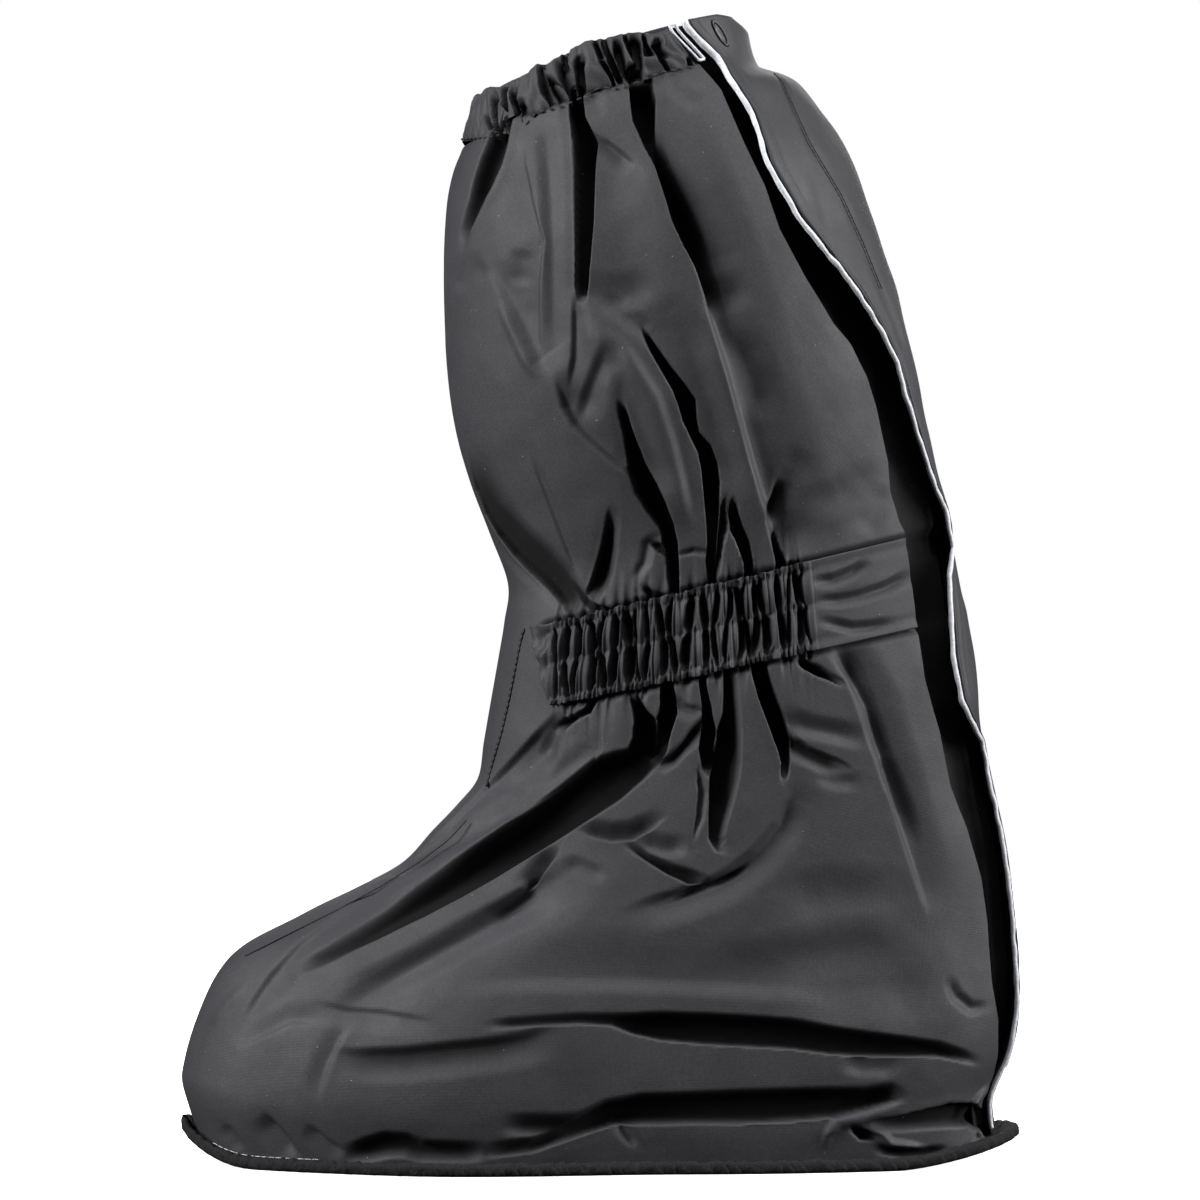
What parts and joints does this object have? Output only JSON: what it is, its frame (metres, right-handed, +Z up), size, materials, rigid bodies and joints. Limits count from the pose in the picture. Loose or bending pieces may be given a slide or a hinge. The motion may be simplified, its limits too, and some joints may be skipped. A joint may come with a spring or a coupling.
{
  "type": "overboot",
  "caption": "Tall fabric rain overboot for the left foot: slack shell on a thin rubber sole, gathered collar, shirred ankle band, rear slit under a piped storm flap.",
  "frame": {"origin": "on the underside of the sole, under the middle of its length, on the ground", "axes": "+Z up, toe towards -X, the wearer's outer side towards -Y"},
  "size_m": [0.3214, 0.1285, 0.4394],
  "materials": {
    "coated_cloth": "black coated polyester, satin",
    "gusset_cloth": "black uncoated side of the cloth, matte",
    "binding_textile": "black overlocked edge, matte",
    "sole_rubber": "black rubber sheet, fine grip",
    "reflective_trim": "silver white reflective piping",
    "stud_metal": "dark lacquered metal, gloss"
  },
  "bodies": {
    "root": {"outsole": "sole_rubber", "sole_binding": "binding_textile", "upper": "coated_cloth", "cuff": "coated_cloth", "ankle_band_outer": "coated_cloth", "ankle_band_inner": "coated_cloth", "storm_flap": "coated_cloth", "rear_gusset": "gusset_cloth", "reflective_piping": "reflective_trim", "piping_loop": "reflective_trim", "press_stud": "stud_metal"}
  },
  "joints": []
}
